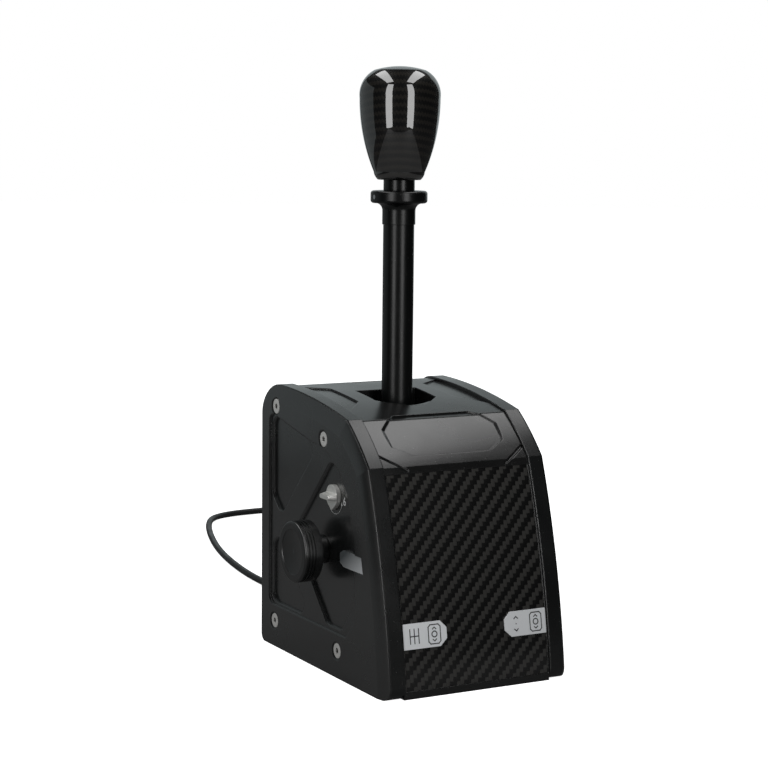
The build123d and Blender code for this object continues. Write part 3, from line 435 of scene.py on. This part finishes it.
def grip_across(material):
    return math(material, "MULTIPLY", math(material, "ADD", *grip_laid(material)), sqrt(0.5))


def grip_along(material):
    return math(material, "MULTIPLY", math(material, "SUBTRACT", *grip_laid(material)), sqrt(0.5))


def printed(name, colour, roughness):
    material = new_material(name, colour, roughness)
    speckle = noise(material, ink_speckle, detail=2.0)
    lightest = tuple(min(1.0, c) for c in shade(colour, ink_lightest))
    speckled = mix_colour(material, speckle, shade(colour, ink_darkest), lightest)
    feed(material, shader_of(material).inputs["Base Color"], speckled)
    return material


def circuit_board(name):
    """Green solder mask with paler copper lines under it."""
    material = new_material(name, mask_green, 0.3, coat=0.5, coat_roughness=0.15)
    bricks = {"Vector": place(material), "Scale": 260.0, "Mortar Size": 0.03}
    lines = node(material, "TexBrick", bricks).outputs["Fac"]
    colour = mix_colour(material, lines, mask_green, copper_green)
    feed(material, shader_of(material).inputs["Base Color"], colour)
    return material


looks = {
    "plate_black": satin_black(
        "plate_black", black, roughness=0.25, grain=0.35 * mm, edge=1.0 * mm, specular=1.0,
        turn=3.0,
    ),
    "cover_black": satin_black(
        "cover_black", (0.005, 0.0052, 0.0052), roughness=0.24, grain=0.3 * mm, edge=1.0 * mm,
        specular=0.72,
    ),
    "lever_black": satin_black(
        "lever_black", (0.002, 0.0024, 0.0024), roughness=0.28, grain=0.25 * mm, edge=0.4 * mm,
        specular=0.45,
    ),
    "knob_black": satin_black(
        "knob_black", (0.0035, 0.004, 0.004), roughness=0.3, grain=0.5 * mm, edge=None,
        specular=1.0,
    ),
    "bush_black": satin_black(
        "bush_black", (0.01, 0.01, 0.01), roughness=0.4, grain=0.3 * mm, edge=0.2 * mm,
    ),
    "switch_black": satin_black(
        "switch_black", (0.015, 0.015, 0.015), roughness=0.5, grain=0.4 * mm, edge=0.2 * mm,
    ),
    "inner_metal": brushed("inner_metal", (0.5, 0.5, 0.51), roughness=0.35, along=2),
    "steel": brushed("steel", (0.55, 0.55, 0.56), roughness=0.25, along=2),
    "screw_steel": brushed(
        "screw_steel", (0.95, 0.94, 0.91), roughness=0.36, along=1, edge=0.25 * mm, metallic=0.5,
        painted_shade_width=1.6 * mm,
    ),
    "dial_metal": brushed(
        "dial_metal", (0.86, 0.86, 0.83), roughness=0.45, along=1, edge=0.4 * mm, metallic=0.7,
    ),
    "badge_metal": badge(
        "badge_metal", (0.86, 0.88, 0.9), shadow_colour=(0.12, 0.135, 0.14), roughness=0.48,
    ),
    "plug_metal": brushed("plug_metal", (0.66, 0.66, 0.66), roughness=0.22, along=1),
    "rubber_pad": rubber("rubber_pad", (0.02, 0.02, 0.02), roughness=0.7),
    "cable_black": rubber("cable_black", (0.012, 0.0125, 0.013), roughness=0.42),
    "plug_black": rubber("plug_black", (0.016, 0.016, 0.016), roughness=0.5),
    "board_green": circuit_board("board_green"),
    "socket_white": printed("socket_white", (0.75, 0.74, 0.69), roughness=0.45),
    "carbon_sheet": carbon(
        "carbon_sheet", panel_across, panel_along, sheen_colour=(0.033, 0.032, 0.03),
        dark=(0.0006, 0.0006, 0.0006), roughness=0.45, coat_roughness=0.14, depth=0.14 * mm,
        specular=0.12, coat_ior=1.6,
    ),
    "grip_carbon": carbon(
        "grip_carbon", grip_across, grip_along, sheen_colour=(0.012, 0.0105, 0.0085),
        dark=(0.0012, 0.0012, 0.0012), roughness=0.4, coat_roughness=0.015, depth=0.05 * mm,
        specular=0.1, coat_ior=2.1,
    ),
}
ink_dark = printed("ink_dark", (0.02, 0.021, 0.023), roughness=0.45)
ink_white = printed("ink_white", (0.75, 0.76, 0.76), roughness=0.5)

for part in frame["record"]["subparts"]:
    shown = frame["nodes"][part["node"]]
    shown.data.materials.clear()
    shown.data.materials.append(looks[part["material_slot"]])


# Cable: one spline through the lead, the coil and the tail
def cable_points():
    """The cable's centre line, from its exit in the rear panel to its plug."""
    lead = [
        (14 * mm, 86.6 * mm, 22 * mm),
        (14 * mm, 106 * mm, 22 * mm),
        (12.5 * mm, 128 * mm, 15 * mm),
        (9 * mm, 151 * mm, 5.5 * mm),
        (5.5 * mm, 181 * mm, cable_floor),
        (6 * mm, 226 * mm, cable_floor),
        (12 * mm, 272 * mm, cable_floor),
        (22 * mm, 320 * mm, cable_floor),
        (36 * mm, 367 * mm, cable_floor),
        (54 * mm, 416 * mm, cable_floor),
        (68 * mm, 442 * mm, 4 * mm),
        (92 * mm, 456.5 * mm, 3.4 * mm),
        (124 * mm, 462 * mm, cable_floor),
        (158 * mm, 462 * mm, cable_floor),
    ]
    # The coil winds in by a pitch a turn to its halfway quarter, where it climbs a layer, and out
    # again. Its radius is coil_radius on average
    halfway = coil_quarters / 2
    outer = coil_radius + coil_pitch * halfway / 4 / 2
    middle_x, middle_y = lead[-1][0] + 2 * cable_radius, lead[-1][1] - outer
    coil = []
    for step in range(coil_quarters * points_per_quarter + 1):
        quarter = step / points_per_quarter
        radius = outer - coil_pitch * min(quarter, coil_quarters - quarter) / 4
        climb = min(max(quarter - (halfway - 1), 0) / 2, 1)
        angle = (1 - quarter) * pi / 2
        x, y = middle_x + radius * cos(angle), middle_y + radius * sin(angle)
        coil.append((x, y, cable_floor + coil_layer * climb))
    end = (coil[-1][0], coil[-1][1] - 2 * cable_radius, coil[-1][2])
    tail = [
        end,
        (end[0], end[1] - tail_run, end[2]),
        (end[0] - tail_drift, end[1] - 2 * tail_run, plug_middle),
        (end[0] - 3 * tail_drift, end[1] - 3 * tail_run, plug_middle),
    ]
    return lead + coil + tail


def cable():
    points = cable_points()
    curve = bpy.data.curves.new("cable", "CURVE")
    curve.dimensions = "3D"
    spline = curve.splines.new("NURBS")
    spline.points.add(len(points) - 1)
    for target, point in zip(spline.points, points):
        target.co = (*point, 1.0)
    spline.order_u = 3
    spline.use_endpoint_u = True
    spline.resolution_u = 6
    curve.bevel_depth = cable_radius
    curve.bevel_resolution = 5
    curve.materials.append(looks["cable_black"])
    made = bpy.data.objects.new("cable", curve)
    bpy.context.scene.collection.objects.link(made)
    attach(made, "housing")
    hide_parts("cable_lead", "cable_coil", "cable_tail")


cable()


# Printed marks: thin flat strokes on a face, given by its origin, its right and its up
def mesh_object(name, vertices, faces, material, body):
    mesh = bpy.data.meshes.new(name)
    mesh.from_pydata(vertices, [], faces)
    mesh.materials.append(material)
    mesh.update()
    made = bpy.data.objects.new(name, mesh)
    bpy.context.scene.collection.objects.link(made)
    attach(made, body)
    return made


def strokes(name, lines, width, origin, right, up, material, body):
    """One mesh of straight strokes, each from one point to another on the face."""
    vertices, faces = [], []
    for start, end in lines:
        along = Vector((end[0] - start[0], end[1] - start[1])).normalized()
        side = Vector((-along[1], along[0])) * width / 2
        reach = along * width / 2
        first = len(vertices)
        for point, way in ((start, -1), (end, 1)):
            for turn in (1, -1):
                x = point[0] + way * reach[0] + turn * way * side[0]
                y = point[1] + way * reach[1] + turn * way * side[1]
                vertices.append(origin + right * x + up * y)
        faces.append((first, first + 1, first + 2, first + 3))
    return mesh_object(name, vertices, faces, material, body)


def chain(points, closed=False):
    ends = points[1:] + points[:1] if closed else points[1:]
    return list(zip(points, ends))


def arc(centre, radius, start, end, steps):
    """Points of an arc, from angles in degrees."""
    angles = [radians(start + (end - start) * step / steps) for step in range(steps + 1)]
    return [(centre[0] + radius * cos(a), centre[1] + radius * sin(a)) for a in angles]


def badge_face(name):
    """Middle of a front badge's outer face, just above it, and the way up along the face."""
    low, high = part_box(name)
    band = 0.3 * mm
    corners = [corner.co for corner in frame["nodes"][name].data.vertices]
    bottom = min((co for co in corners if co.z < low.z + band), key=lambda co: co.y)
    top = min((co for co in corners if co.z > high.z - band), key=lambda co: co.y)
    up = Vector((0, top.y - bottom.y, top.z - bottom.z)).normalized()
    out = Vector((0, -up.z, up.y))
    middle = Vector(((low.x + high.x) / 2, (bottom.y + top.y) / 2, (bottom.z + top.z) / 2))
    return middle + out * badge_ink_lift, up


def lever_icon(middle, size):
    """Plain pictogram: a cut-cornered case seen from above with a lever's knob and two arrows."""
    x, y = middle
    half, tall, cut = size * 0.36, size * 0.5, size * 0.12
    knob, wing, arrow_foot, arrow_tip = size * 0.15, size * 0.1, size * 0.27, size * 0.36
    case = [
        (x - half + cut, y - tall), (x + half - cut, y - tall),
        (x + half, y - tall + cut), (x + half, y + tall - cut),
        (x + half - cut, y + tall), (x - half + cut, y + tall),
        (x - half, y + tall - cut), (x - half, y - tall + cut),
    ]
    lines = chain(case, closed=True)
    lines += chain(arc(middle, knob, 0, 360, steps=20))
    for way in (1, -1):
        foot, tip = y + way * arrow_foot, y + way * arrow_tip
        lines += chain([(x - wing, foot), (x, tip), (x + wing, foot)])
    return lines


def pattern_badges():
    """A shift gate on the left badge, two arrowheads on the right one, and a lever on both."""
    right = Vector((1, 0, 0))
    origin, up = badge_face("left_pattern_badge")
    gate_x, step, tall = -7.2 * mm, 2.9 * mm, 4.2 * mm
    lines = [((gate_x - step, 0), (gate_x + step, 0))]
    for column in (-1, 0, 1):
        lines.append(((gate_x + column * step, -tall), (gate_x + column * step, tall)))
    lines += lever_icon((6.2 * mm, 0), icon_size)
    strokes(
        "gate_print", lines, badge_stroke, origin, right, up, ink_dark, "housing",
    )
    origin, up = badge_face("right_pattern_badge")
    mark_x, wing, foot, tip, dot = -6.4 * mm, 1.3 * mm, 3.1 * mm, 4.3 * mm, 0.05 * mm
    lines = lever_icon((7.4 * mm, 0), icon_size)
    for way in (1, -1):
        feet = [(mark_x + turn * wing, way * foot) for turn in (-1, 1)]
        lines += chain([feet[0], (mark_x, way * tip), feet[1]])
    lines.append(((mark_x - dot, 0), (mark_x + dot, 0)))
    strokes(
        "sequence_print", lines, badge_stroke, origin, right, up, ink_dark, "housing",
    )


def side_print():
    """Arc with its arrowhead under the dial, and the figure beside it."""
    ink_x = dial_floor - dial_ink_lift
    right, up = Vector((0, -1, 0)), Vector((0, 0, 1))
    origin = Vector((ink_x, dial_y, dial_z))
    bow = arc(dial_arc_middle, dial_arc_radius, dial_arc_start, dial_arc_end, steps=16)
    tip = bow[-1]
    strokes(
        "dial_arc", chain(bow), dial_stroke, origin, right, up, ink_white, "housing",
    )
    corners = ((-1.0, -0.3), (0.9, 0.1), (0.35, 2.3))
    head = [origin + right * (tip[0] + x * mm) + up * (tip[1] + y * mm) for x, y in corners]
    mesh_object("dial_arrow", head, [(0, 1, 2)], ink_white, "housing")
    figure = bpy.data.curves.new("dial_figure", "FONT")
    figure.body = "6"
    figure.size = figure_size
    figure.offset = figure_swell
    figure.align_x = "CENTER"
    figure.align_y = "CENTER"
    figure.materials.append(ink_white)
    made = bpy.data.objects.new("dial_figure", figure)
    made.matrix_world = Matrix.LocRotScale(
        Vector((ink_x, dial_y - figure_right, dial_z - figure_down)),
        Matrix(((0, 0, -1), (-1, 0, 0), (0, 1, 0))).to_quaternion(), None,
    )
    bpy.context.scene.collection.objects.link(made)
    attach(made, "housing")


pattern_badges()
side_print()


# Studio: pale floor, soft lights and the camera
def camera_level(way, away, up=0.0):
    """Point right of, away from and above the row frame's origin, as the camera sees it."""
    turn = radians(camera_azimuth)
    return Vector((way * cos(turn) + away * sin(turn), away * cos(turn) - way * sin(turn), up))


def split_by_camera(tree, seen, mirrored, output):
    """The camera gets one shader and every other ray the other, as with a backdrop lit apart."""
    rays, mix = tree.nodes.new("ShaderNodeLightPath"), tree.nodes.new("ShaderNodeMixShader")
    tree.links.new(rays.outputs["Is Camera Ray"], mix.inputs[0])
    tree.links.new(mirrored, mix.inputs[1])
    tree.links.new(seen, mix.inputs[2])
    tree.links.new(mix.outputs[0], output.inputs["Surface"])


def floor_look(name, dim_colour, dim_glow):
    """White with a faint shadow to the eye, dimmer as a mirror image in black surfaces."""
    material = bpy.data.materials.new(name)
    material.use_nodes = True
    tree = material.node_tree
    tree.nodes.clear()
    kinds = ("Emission", "BsdfDiffuse") * 2
    seen, pale, low, dim = (tree.nodes.new("ShaderNode" + kind) for kind in kinds)
    bright, dark = tree.nodes.new("ShaderNodeAddShader"), tree.nodes.new("ShaderNodeAddShader")
    output = tree.nodes.new("ShaderNodeOutputMaterial")
    away = node(material, "VectorMath", {0: place(material)}, operation="LENGTH").outputs["Value"]
    glow = remap(material, away, floor_glow_near, floor_glow_far, floor_glow, far_floor_glow)
    feed(material, seen.inputs["Strength"], glow)
    pale.inputs["Color"].default_value = floor_colour
    low.inputs["Strength"].default_value = dim_glow
    dim.inputs["Color"].default_value = (dim_colour, dim_colour, dim_colour, 1)
    for pair, both in (((seen, pale), bright), ((low, dim), dark)):
        tree.links.new(pair[0].outputs[0], both.inputs[0])
        tree.links.new(pair[1].outputs[0], both.inputs[1])
    split_by_camera(tree, bright.outputs[0], dark.outputs[0], output)
    return material


def floor():
    """Pale floor with the table's lit field in its middle, square to the camera."""
    ways = (-floor_half, -table_side, table_side, floor_half)
    aways = (-floor_half, table_near, table_far, floor_half)
    vertices = [camera_level(way, away) for away in aways for way in ways]
    corners = [4 * row + column for row in range(3) for column in range(3)]
    faces = [(corner, corner + 1, corner + 5, corner + 4) for corner in corners]
    table_face = len(faces) // 2
    mesh = bpy.data.meshes.new("floor")
    mesh.from_pydata(vertices, [], faces)
    mesh.materials.append(floor_look("floor_white", floor_mirror, world_light))
    mesh.materials.append(floor_look("table_white", table_mirror, table_glow))
    mesh.polygons[table_face].material_index = 1
    made = bpy.data.objects.new("floor", mesh)
    bpy.context.scene.collection.objects.link(made)


def world():
    """White to the eye and dim as a light, so that black surfaces mirror the lamps alone."""
    made = bpy.data.worlds.new("studio")
    bpy.context.scene.world = made
    made.use_nodes = True
    tree = made.node_tree
    tree.nodes.clear()
    seen, dim = (tree.nodes.new("ShaderNodeBackground") for _ in range(2))
    seen.inputs[0].default_value = (1, 1, 1, 1)
    dim.inputs[0].default_value = (1, 1, 1, 1)
    dim.inputs[1].default_value = world_light
    output = tree.nodes.new("ShaderNodeOutputWorld")
    split_by_camera(tree, seen.outputs[0], dim.outputs[0], output)


def softbox(name, at, facing, size, glow, colour=(1, 1, 1)):
    """Rectangular lamp that faces a point, unseen itself."""
    spot, aim = camera_level(*at), camera_level(*facing)
    out = (spot - aim).normalized()
    steep = 0.8
    top = camera_level(0, 1) if abs(out.z) > steep else Vector((0, 0, 1))
    level = top.cross(out).normalized()
    basis = Matrix((level, out.cross(level), out)).transposed().to_4x4()
    lamp = bpy.data.lights.new(name, "AREA")
    lamp.shape = "RECTANGLE"
    lamp.size, lamp.size_y = size
    lamp.energy = glow * pi * size[0] * size[1]
    lamp.color = colour
    made = bpy.data.objects.new(name, lamp)
    made.matrix_world = Matrix.Translation(spot) @ basis
    made.visible_camera = False
    bpy.context.scene.collection.objects.link(made)


def camera():
    """Camera of the photograph, aimed at its target and rolled about its own axis."""
    turn, rise, roll = radians(camera_azimuth), radians(camera_elevation), radians(camera_roll)
    back = Vector((-sin(turn) * cos(rise), -cos(turn) * cos(rise), sin(rise)))
    level_right = Vector((cos(turn), -sin(turn), 0))
    level_up = back.cross(level_right)
    right = cos(roll) * level_right + sin(roll) * level_up
    up = cos(roll) * level_up - sin(roll) * level_right
    data = bpy.data.cameras.new("camera")
    data.sensor_width = sensor_width
    data.lens = focal_pixels / picture_pixels * sensor_width
    data.shift_x = (picture_pixels / 2 - centre_pixels[0]) / picture_pixels
    data.shift_y = (centre_pixels[1] - picture_pixels / 2) / picture_pixels
    made = bpy.data.objects.new("camera", data)
    basis = Matrix((right, up, back)).transposed().to_4x4()
    made.matrix_world = Matrix.Translation(camera_target + back * camera_distance) @ basis
    bpy.context.scene.collection.objects.link(made)
    bpy.context.scene.camera = made


floor()
world()
for name, side in (("left", -1), ("right", 1)):
    strip_at = (side * strip_side, strip_away, strip_up)
    bar_at = (side * bar_side, bar_away, bar_up)
    softbox(name + "_strip", strip_at, (0, 0, strip_up), strip_size, strip_glow)
    softbox(name + "_bar", bar_at, (*bar_at[:2], 0), bar_size, bar_glow)
softbox(
    "left_wall", at=(-0.78, 0.36, 0.37), facing=(0, 0, 0.37), size=(1.15, 0.74),
    glow=wall_glow, colour=cool_white,
)
softbox(
    "back_wall", at=(0.2, 1.7, 0.75), facing=(0, 0, 0.2), size=(2.2, 1.3),
    glow=back_glow, colour=cool_white,
)
camera()
bpy.context.scene.view_settings.view_transform = "Standard"
